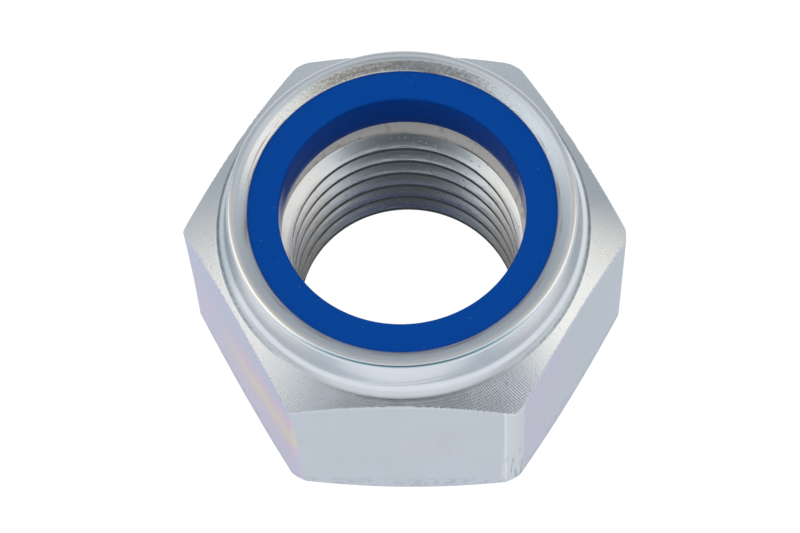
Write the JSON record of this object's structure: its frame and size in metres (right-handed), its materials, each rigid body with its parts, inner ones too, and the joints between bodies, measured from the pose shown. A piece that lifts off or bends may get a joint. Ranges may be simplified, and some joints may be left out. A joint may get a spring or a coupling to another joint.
{
  "type": "nylon insert lock nut",
  "caption": "Hexagon lock nut with a turned collar whose rolled rim holds a nylon locking ring above the thread.",
  "frame": {"origin": "centre of the bearing face, on the thread's axis", "axes": "+Z along the thread's axis from the bearing face to the nylon ring; two flats face +Y and -Y, two corners point +X and -X"},
  "size_m": [0.0624, 0.055, 0.0379],
  "materials": {
    "zinc_steel": "bright zinc plate on forged and turned steel, satin, faintly iridescent",
    "blue_nylon": "blue nylon, satin, turned bore"
  },
  "bodies": {
    "root": {"nut_body": "zinc_steel", "insert_ring": "blue_nylon"}
  },
  "joints": []
}
